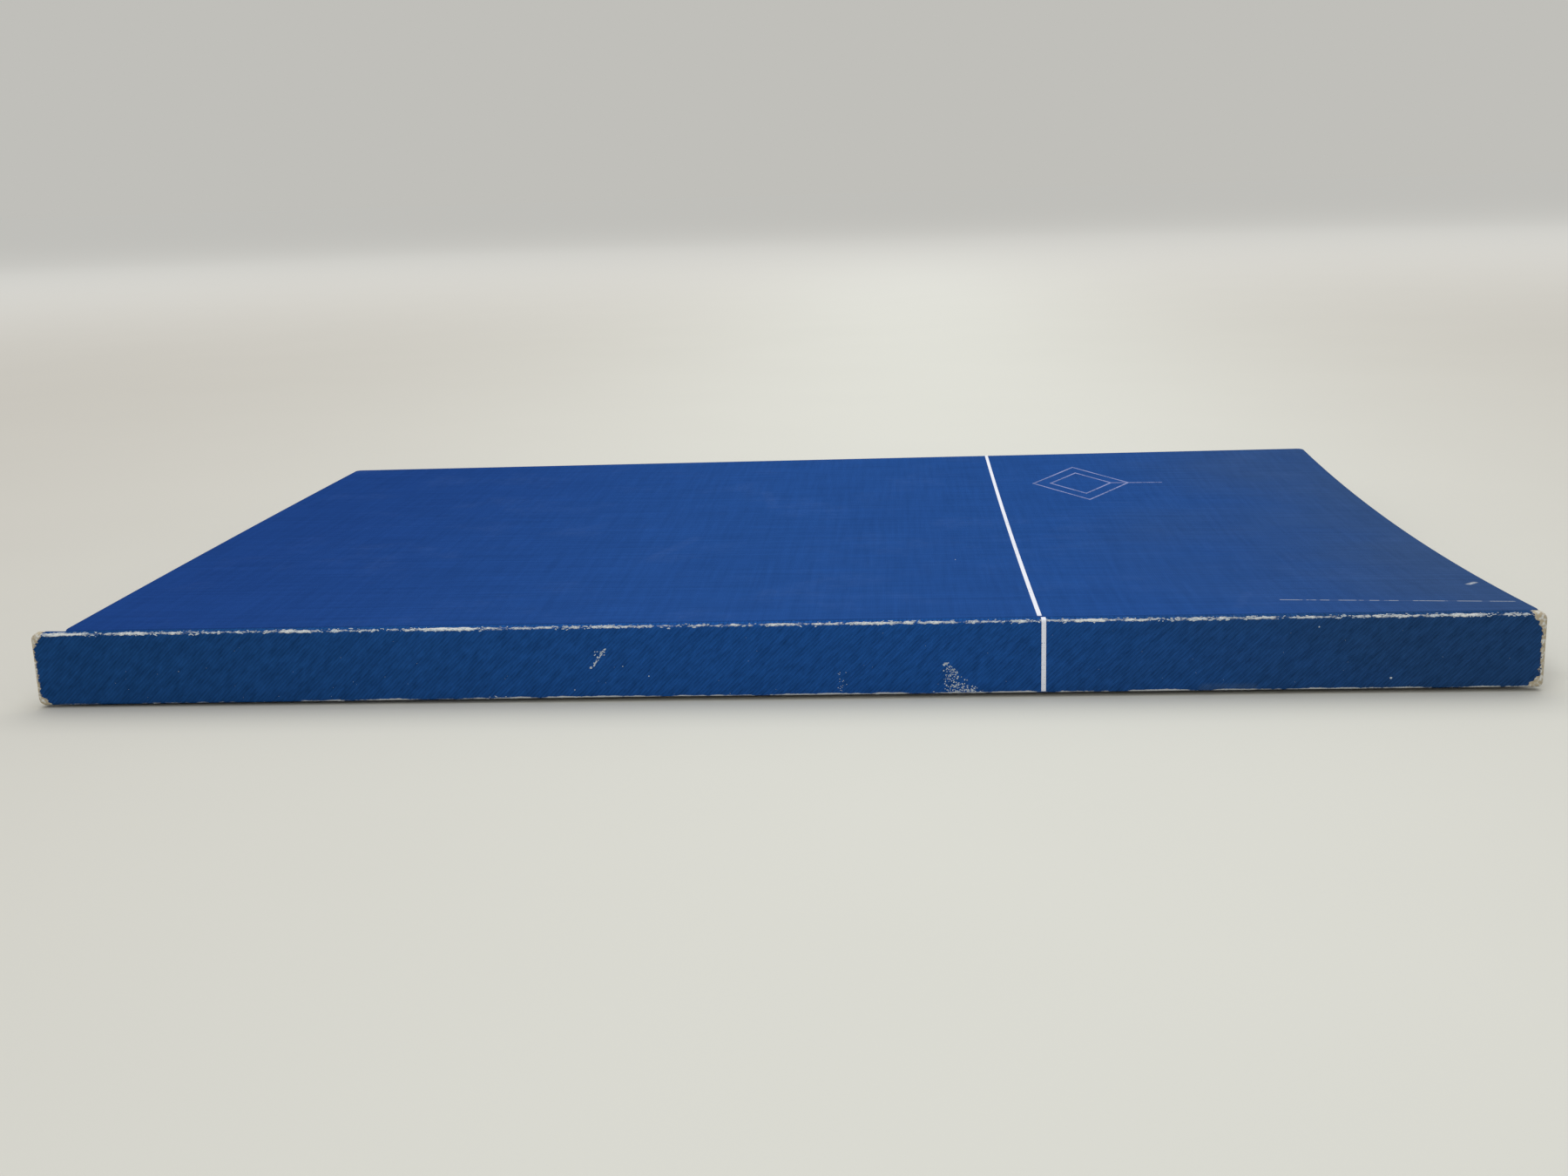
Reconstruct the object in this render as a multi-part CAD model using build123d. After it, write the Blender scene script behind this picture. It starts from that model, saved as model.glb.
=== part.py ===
from build123d import *
import math
import os

os.makedirs("parts", exist_ok=True)

# A slim case-bound art book, lying on its back cover with the spine towards -Y.
# X runs along the spine with the head at -X and the tail at +X, Y runs from the spine
# to the fore edge, and Z points up. All sizes are in millimetres.

# Leaves and sections
page_length = 297.0
page_width = 210.0
section_count = 5
section_fold_thickness = 1.49
section_fold_bulge = 0.30
endpaper_thickness = 0.15
head_square = 3.0
fore_square = 3.5

# Boards and cloth
board_thickness = 2.0
spine_board_thickness = 2.0
cloth_thickness = 0.35
turn_in_width = 15.0
mitre_gap = 0.4
corner_radius = 1.6
edge_radius = 0.6
spine_edge_radius = 0.8

# Spine and joints
joint_width = 7.0
hollow_gap = 0.35
spine_lift = 0.4
spine_step = 1.83
running_gap = 0.3
super_thickness = 0.3
super_set_back = 12.0
super_wing_width = 22.0
lining_thickness = 0.15
lining_set_back = 1.0
band_radius = 0.8
band_tape_length = 9.0

# How the worn book lies: the front cover has slid along the spine, and its board has
# warped. Each value is given at the head end, half way and at the tail end: how deep the
# board hollows between joint and fore edge, and how far its fore edge stands up.
cover_slide = 2.1
board_hollow = (-0.3, 0.6, 3.4)
fore_edge_rise = (0.0, 0.5, 1.0)

# Printing on the cloth
print_thickness = 0.06
print_clearance = 0.01
stripe_width = 0.9
stripe_from_tail = 96.9
motif_line_width = 0.6
motif_length = 28.0
motif_depth = 50.0
motif_spacing = 5.0
motif_from_tail = 72.0
motif_from_fore_edge = 47.0
motif_rule_length = 15.0

# Levels in one cover, counted inwards from the outer face of its cloth
board_level = cloth_thickness
turn_in_level = board_level + board_thickness
lining_level = turn_in_level + cloth_thickness
cover_thickness = lining_level + endpaper_thickness

# Places along Y, counted from the outer face of the spine
spine_thickness = spine_board_thickness + 2 * cloth_thickness
joint_end = spine_thickness + joint_width
hinge_y = spine_thickness + joint_width / 2
lining_y = spine_thickness + hollow_gap
super_y = lining_y + lining_thickness
block_y = super_y + super_thickness
page_end = block_y + page_width
case_depth = page_end + fore_square
board_length = page_length + 2 * head_square

# Levels of the block and the case at the joint
fold_stack = section_count * section_fold_thickness
block_bottom = cover_thickness + running_gap + endpaper_thickness
block_top = block_bottom + fold_stack
cover_top = block_top + endpaper_thickness + running_gap + cover_thickness
spine_bottom = spine_lift
spine_top = cover_top + spine_step

# The book is centred on the origin, so each cover stands half of the slide to one side
side_x = {"front": cover_slide / 2, "back": -cover_slide / 2}
block_x = side_x["back"]
board_span = case_depth - joint_end
stripe_x = block_x + board_length / 2 - stripe_from_tail
outline_margin = 0.02


def book_box(x_limits, y_limits, z_limits):
    """A plain block between pairs of limits, with Y counted from the spine's outer face."""
    sizes = [high - low for low, high in (x_limits, y_limits, z_limits)]
    centre = [(high + low) / 2 for low, high in (x_limits, y_limits, z_limits)]
    return Pos(*centre) * Box(*sizes)


def centred(middle, length):
    """The two ends of a length about its middle."""
    return (middle - length / 2, middle + length / 2)


# The warped front cover

def warp_profile(hollow, rise, share):
    """Height of the warped face above its joint edge, at a share of the board's span."""
    return rise * share - 4 * hollow * share * (1 - share)


def warp_wire(x, hollow, rise, near, far):
    """Outline of one layer of the front cover at one place along the spine."""
    start = -outline_margin
    end = 1 + outline_margin
    slope = rise - 4 * hollow * (1 - 2 * start)
    crown = warp_profile(hollow, rise, start) + slope * (end - start) / 2
    heights = (warp_profile(hollow, rise, start), crown, warp_profile(hollow, rise, end))
    depths = [joint_end + share * board_span for share in (start, (start + end) / 2, end)]
    upper = [Vector(x, y, cover_top + z - near) for y, z in zip(depths, heights)]
    lower = [Vector(x, y, cover_top + z - far) for y, z in zip(depths, heights)]
    return Wire([
        Edge.make_bezier(*upper),
        Edge.make_line(upper[-1], lower[-1]),
        Edge.make_bezier(*reversed(lower)),
        Edge.make_line(lower[0], upper[0]),
    ])


def warped_layer(near, far):
    """A layer of the warped front cover, a little larger than the cover's outline."""
    reach = board_length * (1 + 2 * outline_margin)
    ends = centred(side_x["front"], reach)
    places = (ends[0], side_x["front"], ends[1])
    wires = [
        warp_wire(x, hollow, rise, near, far)
        for x, hollow, rise in zip(places, board_hollow, fore_edge_rise)
    ]
    return Solid.make_loft(wires)


def board_outline(side, inset, radius):
    """Plan of a cover board drawn in by an inset on all four sides."""
    length = board_length - 2 * inset
    depth = board_span - 2 * inset
    middle = Pos(side_x[side], joint_end + board_span / 2)
    return middle * RectangleRounded(length, depth, radius)


def page_outline(side):
    """Plan of a leaf where it is pasted to a cover, from the joint to the fore edge."""
    start = joint_end
    middle = Pos(side_x[side], (start + page_end) / 2)
    return middle * Rectangle(page_length, page_end - start)


def window_outline(side):
    """Plan of the bare board that the turned-in cloth leaves, open towards the joint."""
    start = joint_end + cloth_thickness
    end = case_depth - turn_in_width
    middle = Pos(side_x[side], (start + end) / 2)
    return middle * Rectangle(board_length - 2 * turn_in_width, end - start)


def cover_layer(side, near, far, outline):
    """One layer of a cover, between two levels below its outer face, cut to a plan."""
    if side == "back":
        return Pos(0, 0, near) * extrude(outline, far - near)
    return warped_layer(near, far) & extrude(outline, 2 * spine_top)


def joint_layer(side, near, far, x_limits, y_limits):
    """A flat layer in a cover's joint, between two levels below the outer face."""
    if side == "back":
        return book_box(x_limits, y_limits, (near, far))
    return book_box(x_limits, y_limits, (cover_top - far, cover_top - near))


# The pieces of a cover

def softened_cover(side):
    """A whole cloth-covered board as one lump, with the edges of its outer face rounded."""
    outline = board_outline(side, 0, corner_radius + cloth_thickness)
    body = cover_layer(side, 0, lining_level, outline)
    faces = body.faces().sort_by(Axis.Z)
    outer_face = faces[-1] if side == "front" else faces[0]
    return fillet(outer_face.edges(), edge_radius)


def cover_board(side):
    """The binder's board in one cover."""
    outline = board_outline(side, cloth_thickness, corner_radius)
    return cover_layer(side, board_level, turn_in_level, outline)


def mitre_slots(side):
    """The thin slots where the turned-in cloth meets in a mitre at the fore-edge corners."""
    length = turn_in_width * math.sqrt(2) - 2 * corner_radius
    slots = []
    for direction in (-1, 1):
        x = side_x[side] + direction * (board_length - turn_in_width) / 2
        y = case_depth - turn_in_width / 2
        slots.append(Pos(x, y) * Rot(0, 0, direction * 45) * Rectangle(length, mitre_gap))
    return cover_layer(side, turn_in_level, lining_level, Sketch() + slots)


def cover_cloth(side):
    """Cloth round one board, turned in on three sides and running into the joint on the fourth."""
    cloth = softened_cover(side) - cover_board(side)
    cloth -= cover_layer(side, turn_in_level, lining_level, window_outline(side))
    cloth -= mitre_slots(side)
    strip_x = centred(side_x[side], board_length - 2 * (corner_radius + cloth_thickness))
    strip_y = (hinge_y + running_gap / 2, joint_end)
    return cloth + joint_layer(side, turn_in_level, lining_level, strip_x, strip_y)


def super_wing(side):
    """The half of the gauze that is glued to the board, under the pastedown."""
    start = joint_end + cloth_thickness
    middle = Pos(side_x[side], start + super_wing_width / 2)
    outline = middle * Rectangle(page_length - 2 * super_set_back, super_wing_width)
    return cover_layer(side, turn_in_level, turn_in_level + super_thickness, outline)


def pastedown(side):
    """The half of an endpaper that is pasted over the board, the turn-ins and the gauze."""
    sheet = cover_layer(side, lining_level, cover_thickness, page_outline(side))
    sheet += cover_layer(side, turn_in_level, lining_level, window_outline(side))
    sheet -= super_wing(side)
    strip_x = centred(side_x[side], page_length)
    strip_y = (hinge_y + running_gap / 2, joint_end)
    return sheet + joint_layer(side, lining_level, cover_thickness, strip_x, strip_y)


# The sewn block

def block_crown():
    """The curve of the block's upper face: swollen at the folds, sunk where the board hollows."""
    hollow = board_hollow[-1]
    rise = fore_edge_rise[-1]
    # The share of the span at which the slope of the warped face is nought
    lowest_share = 0.5 - rise / (8 * hollow)
    low_y = joint_end + lowest_share * board_span
    low_z = block_top + warp_profile(hollow, rise, lowest_share)
    return [(joint_end, block_top), ((joint_end + low_y) / 2, low_z), (low_y, low_z), (page_end, low_z)]


def raised(points, amount):
    """The same points, lifted by an amount."""
    return [(y, z + amount) for y, z in points]


def along_spine(lines, length):
    """A section drawn in Y and Z, made into a solid of the given length along the spine."""
    section = make_face(Plane.YZ * (Curve() + lines))
    return Pos(block_x, 0, 0) * extrude(section, length / 2, both=True)


def page_block():
    """All the leaves, as folded sections whose rounded folds stand side by side at the back."""
    valley_y = block_y + section_fold_bulge
    shoulder, dip, low, edge = block_crown()
    outline = [
        Line((valley_y, block_bottom), (page_end, block_bottom)),
        Line((page_end, block_bottom), edge),
        Line(edge, low),
        Bezier(low, dip, shoulder),
        Line(shoulder, (valley_y, block_top)),
    ]
    for index in range(section_count):
        foot = block_bottom + index * section_fold_thickness
        crest = (block_y, foot + section_fold_thickness / 2)
        outline.append(ThreePointArc((valley_y, foot), crest, (valley_y, foot + section_fold_thickness)))
    return along_spine(outline, page_length)


def fold_strip(z_low):
    """The folded edge of an endpaper, where its pasted half leaves the block for the cover."""
    x_limits = centred(block_x, page_length)
    return book_box(x_limits, (block_y, hinge_y - running_gap / 2), (z_low, z_low + endpaper_thickness))


def front_flyleaf():
    """The free leaf of the front endpaper, lying on the block."""
    under = block_crown()
    over = raised(under, endpaper_thickness)
    start_low = (block_y, block_top)
    start_high = (block_y, block_top + endpaper_thickness)
    outline = [
        Line(start_low, under[0]),
        Bezier(*under[:3]),
        Line(under[2], under[3]),
        Line(under[3], over[3]),
        Line(over[3], over[2]),
        Bezier(over[2], over[1], over[0]),
        Line(over[0], start_high),
        Line(start_high, start_low),
    ]
    return along_spine(outline, page_length) + fold_strip(block_top + endpaper_thickness)


def back_flyleaf():
    """The free leaf of the back endpaper, under the block."""
    x_limits = centred(block_x, page_length)
    leaf = book_box(x_limits, (block_y, page_end), (block_bottom - endpaper_thickness, block_bottom))
    return leaf + fold_strip(block_bottom - 2 * endpaper_thickness)


def super_gauze():
    """Gauze glued over the folds, with a lip over each shoulder that runs to the joint."""
    x_limits = centred(block_x, page_length - 2 * super_set_back)
    z_limits = (lining_level, cover_top - lining_level)
    lip_y = (super_y, hinge_y - running_gap / 2)
    gauze = book_box(x_limits, (super_y, block_y), z_limits)
    gauze += book_box(x_limits, lip_y, (z_limits[0], block_bottom - 2 * endpaper_thickness))
    return gauze + book_box(x_limits, lip_y, (block_top + 2 * endpaper_thickness, z_limits[1]))


def spine_lining():
    """The strip of kraft paper over the gauze and the bands."""
    x_limits = centred(block_x, page_length - 2 * lining_set_back)
    return book_box(x_limits, (lining_y, super_y), (lining_level, cover_top - lining_level))


def end_band(direction):
    """A woven band: a bead that tops the folds at one end, on a tape glued to their backs."""
    end_x = block_x + direction * page_length / 2
    bead_x = end_x + direction * band_radius
    bead = Pos(bead_x, block_y + band_radius, block_bottom) * extrude(Circle(band_radius), fold_stack)
    tape_x = sorted((end_x - direction * band_tape_length, bead_x))
    tape = book_box(tape_x, (super_y, block_y), (block_bottom, block_top))
    foot_x = sorted((end_x, bead_x))
    foot = book_box(foot_x, (block_y, block_y + band_radius), (block_bottom, block_top))
    return bead + tape + foot


# The spine of the case

def spine_lump(inset, radius):
    """The spine drawn in by an inset on all sides, with every edge rounded."""
    lump = book_box(
        centred(block_x, board_length - 2 * inset),
        (inset, spine_thickness - inset),
        (spine_bottom + inset, spine_top - inset),
    )
    return fillet(lump.edges(), radius) if radius > 0 else lump


def spine_board():
    """The stiff strip in the spine."""
    return spine_lump(cloth_thickness, spine_edge_radius - cloth_thickness)


def spine_cloth():
    """Cloth round the spine board, turned in at both ends, with a tongue into each joint."""
    inner_y = spine_thickness - cloth_thickness
    cloth = spine_lump(0, spine_edge_radius) - spine_board()
    bare_x = centred(block_x, board_length - 2 * turn_in_width)
    bare_z = (lining_level, cover_top - lining_level)
    cloth -= book_box(bare_x, (inner_y, spine_thickness), bare_z)
    tongue_x = centred(block_x, board_length - 2 * spine_edge_radius)
    tongue_y = (inner_y, hinge_y - running_gap / 2)
    cloth += book_box(tongue_x, tongue_y, (turn_in_level, lining_level))
    return cloth + book_box(tongue_x, tongue_y, (cover_top - lining_level, cover_top - turn_in_level))


# Printing

def printed_on_cover(outline):
    """A thin printed film just over the cloth of the front cover, cut to a plan."""
    return cover_layer("front", -print_clearance - print_thickness, -print_clearance, outline)


def cover_stripe():
    """The thin straight line printed across the front cover."""
    ends = (joint_end + edge_radius, case_depth - edge_radius)
    outline = Pos(stripe_x, sum(ends) / 2) * Rectangle(stripe_width, ends[1] - ends[0])
    return printed_on_cover(outline)


def spine_stripe():
    """The same line carried over the top of the spine and down its face."""
    skin = spine_lump(-print_thickness, spine_edge_radius + print_thickness)
    skin -= spine_lump(0, spine_edge_radius)
    y_limits = (-2 * print_thickness, spine_thickness - spine_edge_radius)
    z_limits = (spine_bottom + spine_edge_radius, spine_top + 2 * print_thickness)
    return skin & book_box(centred(stripe_x, stripe_width), y_limits, z_limits)


def lozenge_line(length, depth):
    """An upright lozenge drawn as a line of even width."""
    corners = [(length / 2, 0), (0, depth / 2), (-length / 2, 0), (0, -depth / 2)]
    shape = make_face(Polyline(*corners, close=True))
    return shape - offset(shape, -motif_line_width, kind=Kind.INTERSECTION)


def cover_motif():
    """Two nested lozenges, joined by a rule that runs on past the larger one."""
    inner_share = 1 - 2 * motif_spacing / motif_length
    start = motif_length * inner_share / 2 - motif_line_width
    rule = Pos(start + motif_rule_length / 2, 0) * Rectangle(motif_rule_length, motif_line_width)
    drawing = lozenge_line(motif_length, motif_depth)
    drawing += lozenge_line(motif_length * inner_share, motif_depth * inner_share)
    drawing += rule
    place = Pos(block_x + board_length / 2 - motif_from_tail, case_depth - motif_from_fore_edge)
    return printed_on_cover(place * drawing)


# All the pieces, each with its own name

pieces = {
    "page_block": page_block(),
    "front_flyleaf": front_flyleaf(),
    "back_flyleaf": back_flyleaf(),
    "super": super_gauze(),
    "spine_lining": spine_lining(),
    "head_band": end_band(-1),
    "tail_band": end_band(1),
    "spine_board": spine_board(),
    "spine_cloth": spine_cloth(),
    "spine_stripe": spine_stripe(),
    "cover_stripe": cover_stripe(),
    "cover_motif": cover_motif(),
}
for side in ("front", "back"):
    pieces[side + "_board"] = cover_board(side)
    pieces[side + "_cloth"] = cover_cloth(side)
    pieces[side + "_super_wing"] = super_wing(side)
    pieces[side + "_pastedown"] = pastedown(side)

for name, piece in pieces.items():
    export_step(Pos(0, -case_depth / 2, 0) * piece, f"parts/{name}.step")
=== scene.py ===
import math
import random

import bmesh
import bpy
from mathutils import Matrix, Vector, noise


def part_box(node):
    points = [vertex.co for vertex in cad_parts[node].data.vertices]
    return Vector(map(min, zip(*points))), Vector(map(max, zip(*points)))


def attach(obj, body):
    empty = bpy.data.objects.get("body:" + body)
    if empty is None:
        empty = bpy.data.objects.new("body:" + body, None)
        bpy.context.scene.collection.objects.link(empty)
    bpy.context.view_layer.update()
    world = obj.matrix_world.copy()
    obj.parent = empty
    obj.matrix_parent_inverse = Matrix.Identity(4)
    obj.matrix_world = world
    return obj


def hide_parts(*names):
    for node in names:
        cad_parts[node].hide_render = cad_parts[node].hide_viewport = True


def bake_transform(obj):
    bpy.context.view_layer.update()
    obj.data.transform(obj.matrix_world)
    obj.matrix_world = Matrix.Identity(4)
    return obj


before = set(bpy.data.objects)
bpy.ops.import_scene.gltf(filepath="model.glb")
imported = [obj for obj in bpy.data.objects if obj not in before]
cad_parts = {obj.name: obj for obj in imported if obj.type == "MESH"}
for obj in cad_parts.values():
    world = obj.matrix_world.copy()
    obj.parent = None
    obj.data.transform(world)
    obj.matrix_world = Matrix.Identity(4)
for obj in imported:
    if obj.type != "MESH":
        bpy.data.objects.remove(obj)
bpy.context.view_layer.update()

bl_info = {
    "name": "Slim cloth-bound book",
    "version": (1, 0, 0),
    "blender": (4, 5, 0),
    "location": "View3D > Sidebar > Book",
    "description": "Dresses a case-bound book: worn cloth, leaves, endpapers, bands and a plain studio",
    "category": "Object",
}

MM = 0.001


def srgb(red, green, blue):
    """A display colour given from 0 to 255, as the linear values that a shader takes."""
    def linear(value):
        share = value / 255
        return share / 12.92 if share <= 0.04045 else ((share + 0.055) / 1.055) ** 2.4
    return (linear(red), linear(green), linear(blue), 1.0)


def length_prop(description, millimetres):
    """A length setting, shown in the scene's units."""
    return bpy.props.FloatProperty(
        description=description, default=millimetres * MM, unit="LENGTH", precision=5
    )


def colour_prop(description, red, green, blue):
    """A colour setting, from a display colour."""
    return bpy.props.FloatVectorProperty(
        description=description, size=4, subtype="COLOR", min=0, max=1,
        default=srgb(red, green, blue),
    )


class BookSizes(bpy.types.PropertyGroup):
    """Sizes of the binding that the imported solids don't state by themselves."""

    cloth: length_prop("Thickness of the book cloth", 0.35)
    endpaper: length_prop("Thickness of the endpapers", 0.15)
    turn_in: length_prop("Width of the cloth turned over the board", 15)
    corner_radius: length_prop("Rounding of a cover's corners", 1.95)
    edge_radius: length_prop("Rounding of a cover's outer edges", 0.6)
    spine_radius: length_prop("Rounding of the spine's long edges", 0.8)
    spine_corner: length_prop("Rounding of the spine's worn corners", 1.5)
    spine_step: length_prop("Height of the spine above the front cover", 1.83)
    hollow_head: length_prop("Sag of the front cover at the head", -0.3)
    hollow_middle: length_prop("Sag of the front cover half way", 0.6)
    hollow_tail: length_prop("Sag of the front cover at the tail", 3.4)
    rise_middle: length_prop("Rise of the fore edge half way", 0.5)
    rise_tail: length_prop("Rise of the fore edge at the tail", 1.0)
    motif_line: length_prop("Width of the motif's lines", 0.6)
    leaf_step: length_prop("How far the leaves' edges stand out of line", 0.07)
    leaves: bpy.props.IntProperty(description="Layers seen at the edges of the block", default=40)
    seed: bpy.props.IntProperty(description="Where the random wear falls", default=7)


class BookColours(bpy.types.PropertyGroup):
    """Colours of the cloth, the paper and the wear."""

    cover_deep: colour_prop("Cloth of the front cover near the head", 29, 61, 121)
    cover: colour_prop("Cloth of the front cover", 35, 73, 135)
    cover_rubbed: colour_prop("Cloth rubbed dull near the tail", 54, 76, 111)
    spine: colour_prop("Cloth of the spine", 29, 74, 137)
    spine_head: colour_prop("Cloth of the spine near the head", 26, 65, 115)
    spine_dark: colour_prop("Cloth of the spine where it is soiled", 32, 64, 107)
    fibre: colour_prop("Bare white fibre at worn edges", 214, 216, 212)
    bare: colour_prop("Board laid bare at the corners", 176, 164, 140)
    board: colour_prop("Grey-brown binder's board", 150, 140, 122)
    print_white: colour_prop("White printed line", 226, 229, 238)
    print_faint: colour_prop("Pale lilac printed line", 128, 138, 186)
    paper: colour_prop("Cream-white paper", 232, 226, 211)
    paper_shade: colour_prop("Shade between the leaves", 170, 158, 136)
    endpaper: colour_prop("Off-white endpaper", 226, 221, 206)
    gauze: colour_prop("Glued cotton gauze", 212, 206, 190)
    kraft: colour_prop("Brown kraft lining", 168, 132, 92)
    band_light: colour_prop("Light thread of the bands", 226, 226, 220)
    band_blue: colour_prop("Blue thread of the bands", 44, 76, 136)
    floor: colour_prop("Pale floor", 210, 210, 202)
    # Painted light: paler than the floor, standing in for the light that the far floor lacks
    far_floor: colour_prop("Floor where it meets the background", 250, 249, 243)
    backdrop: colour_prop("Background above the floor", 192, 191, 186)
    smudge: colour_prop("Faint rubbing on the front cover", 84, 112, 168)
    grime: colour_prop("Grey smudge on the spine", 120, 140, 150)
    # Painted shadow: a near-black colour on the underside of the spine's foot, standing in for the shade
    # in the gap above the floor
    under: colour_prop("Soiled cloth under the foot of the spine", 12, 14, 20)
    dyed_fibre: colour_prop("Bare fibre that has kept some blue", 150, 170, 190)
    aged_paper: colour_prop("Yellowed edges of the leaves", 214, 200, 170)
    aged_endpaper: colour_prop("Yellowed clouds in the endpapers", 208, 198, 174)
    pulp: colour_prop("Light flecks in the board", 178, 166, 146)
    glue: colour_prop("Glue between the gauze's threads", 176, 160, 128)
    kraft_dark: colour_prop("Dark fibres of the kraft lining", 134, 102, 68)


def sizes():
    return bpy.context.scene.book_sizes


def length(setting):
    """A length from the settings, in millimetres."""
    return getattr(sizes(), setting) / MM


def colours():
    return bpy.context.scene.book_colours


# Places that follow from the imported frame, in millimetres

BOXES = {name: [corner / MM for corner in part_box(name)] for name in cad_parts}

LOFT_MARGIN = 0.02

# How far the foot of the spine has bowed up, and how far from the head it goes on rising
FOOT_BOW = 0.35
FOOT_BOW_REACH = 120.0


def box_mm(node):
    """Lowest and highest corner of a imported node."""
    return BOXES[node]


def cover_plan(side):
    """Plan limits of a cloth-covered board: the board and the cloth round it."""
    low, high = box_mm(side + "_board")
    wrap = length("cloth")
    return (low.x - wrap, high.x + wrap), (low.y - wrap, high.y + wrap)


def case_depth():
    """Thickness of a board with the cloth on both of its faces."""
    low, high = box_mm("back_board")
    return high.z - low.z + 2 * length("cloth")


def facing(side):
    """Which way the inner face of a cover looks: -1 is down and 1 is up."""
    return -1 if side == "front" else 1


def spine_back():
    """Place of the inner face of the covered spine strip."""
    return box_mm("spine_board")[1].y + length("cloth")


def foot_bow(x, low):
    """How far the foot of the spine has bowed up at a place along it."""
    return FOOT_BOW * min(1.0, (x - low.x) / FOOT_BOW_REACH)


def cover_level(side):
    """Height of a cover's outer face at the joint."""
    if side == "back":
        return 0.0
    return box_mm("spine_cloth")[1].z - length("spine_step")


def through_three(head, middle, tail, share):
    """The parabola through values at the head, half way and at the tail."""
    return head + share * (4 * middle - 3 * head - tail) + 2 * share * share * (head + tail - 2 * middle)


def warp(x, y):
    """Height of the warped front cover above its joint edge."""
    book = sizes()
    (x_low, x_high), (y_low, y_high) = cover_plan("front")
    margin = LOFT_MARGIN * (x_high - x_low)
    share = (x - x_low + margin) / (x_high - x_low + 2 * margin)
    hollow = through_three(book.hollow_head, book.hollow_middle, book.hollow_tail, share) / MM
    rise = through_three(0.0, book.rise_middle, book.rise_tail, share) / MM
    across = max(0.0, (y - y_low) / (y_high - y_low))
    return rise * across - 4 * hollow * across * (1 - across)


def cover_height(x, y, side="front"):
    """Height of a cover's outer face at a place on it."""
    return cover_level(side) + (warp(x, y) if side == "front" else 0.0)


# Mesh helpers

# Points closer than MERGE become one, and places within TOUCH count as the same
MERGE = 1e-5
TOUCH = 1e-3


def block(bm, x_limits, y_limits, z_limits):
    """A box between pairs of limits."""
    limits = (x_limits, y_limits, z_limits)
    middle = Vector([(low + high) / 2 for low, high in limits])
    scale = Matrix.Diagonal([high - low for low, high in limits] + [1.0])
    bmesh.ops.create_cube(bm, size=1, matrix=Matrix.Translation(middle) @ scale)


def cut(bm, axis, places):
    """Cuts the whole mesh by planes across one axis."""
    normal = Vector((0, 0, 0))
    normal[axis] = 1
    for place in places:
        everything = bm.verts[:] + bm.edges[:] + bm.faces[:]
        bmesh.ops.bisect_plane(
            bm, geom=everything, plane_co=normal * place, plane_no=normal, dist=MERGE
        )


def spread(low, high, count, guard=0.0):
    """Even places between two limits, with one more close to each end if guard is given."""
    places = [low + (high - low) * index / count for index in range(1, count)]
    if guard:
        places += [low + guard, high - guard]
    return places


def ruled_block(x_limits, y_limits, z_limits, columns=1, rows=1, layers=1):
    """A mesh of one box, cut evenly so that it can bend."""
    bm = bmesh.new()
    block(bm, x_limits, y_limits, z_limits)
    for axis, limits, count in ((2, z_limits, layers), (0, x_limits, columns), (1, y_limits, rows)):
        cut(bm, axis, spread(*limits, count))
    return bm


def rounded(bm, edges, radius, segments):
    """Rounds edges with the given radius."""
    bmesh.ops.bevel(
        bm, geom=edges, offset=radius, offset_type="OFFSET", segments=segments, profile=0.5,
        affect="EDGES", material=-1, clamp_overlap=True,
    )


def split_large_faces(bm):
    """Parts the faces that have more than four corners, so that they can bend."""
    bmesh.ops.triangulate(bm, faces=[f for f in bm.faces if len(f.verts) > 4])


def lay(bm, side="front"):
    """Lifts a flat shape to a cover's level and bends it as that cover is warped."""
    for vert in bm.verts:
        vert.co.z += cover_height(vert.co.x, vert.co.y, side)


def finished(name, bm, finish, body=None, replaced=(), smooth_angle=38):
    """Turns a mesh in millimetres into a piece that rides on a body and stands for nodes."""
    bmesh.ops.remove_doubles(bm, verts=bm.verts[:], dist=MERGE)
    bmesh.ops.recalc_face_normals(bm, faces=bm.faces[:])
    bmesh.ops.scale(bm, vec=(MM, MM, MM), verts=bm.verts[:])
    mesh = bpy.data.meshes.new(name)
    bm.to_mesh(mesh)
    bm.free()
    mesh.polygons.foreach_set("use_smooth", [True] * len(mesh.polygons))
    mesh.set_sharp_from_angle(angle=math.radians(smooth_angle))
    mesh.materials.append(finish)
    piece = bpy.data.objects.new(name, mesh)
    bpy.context.scene.collection.objects.link(piece)
    if body:
        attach(piece, body)
    if replaced:
        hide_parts(*replaced)
    return piece


# Finishes

WHITE = (1.0, 1.0, 1.0, 1.0)


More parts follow.
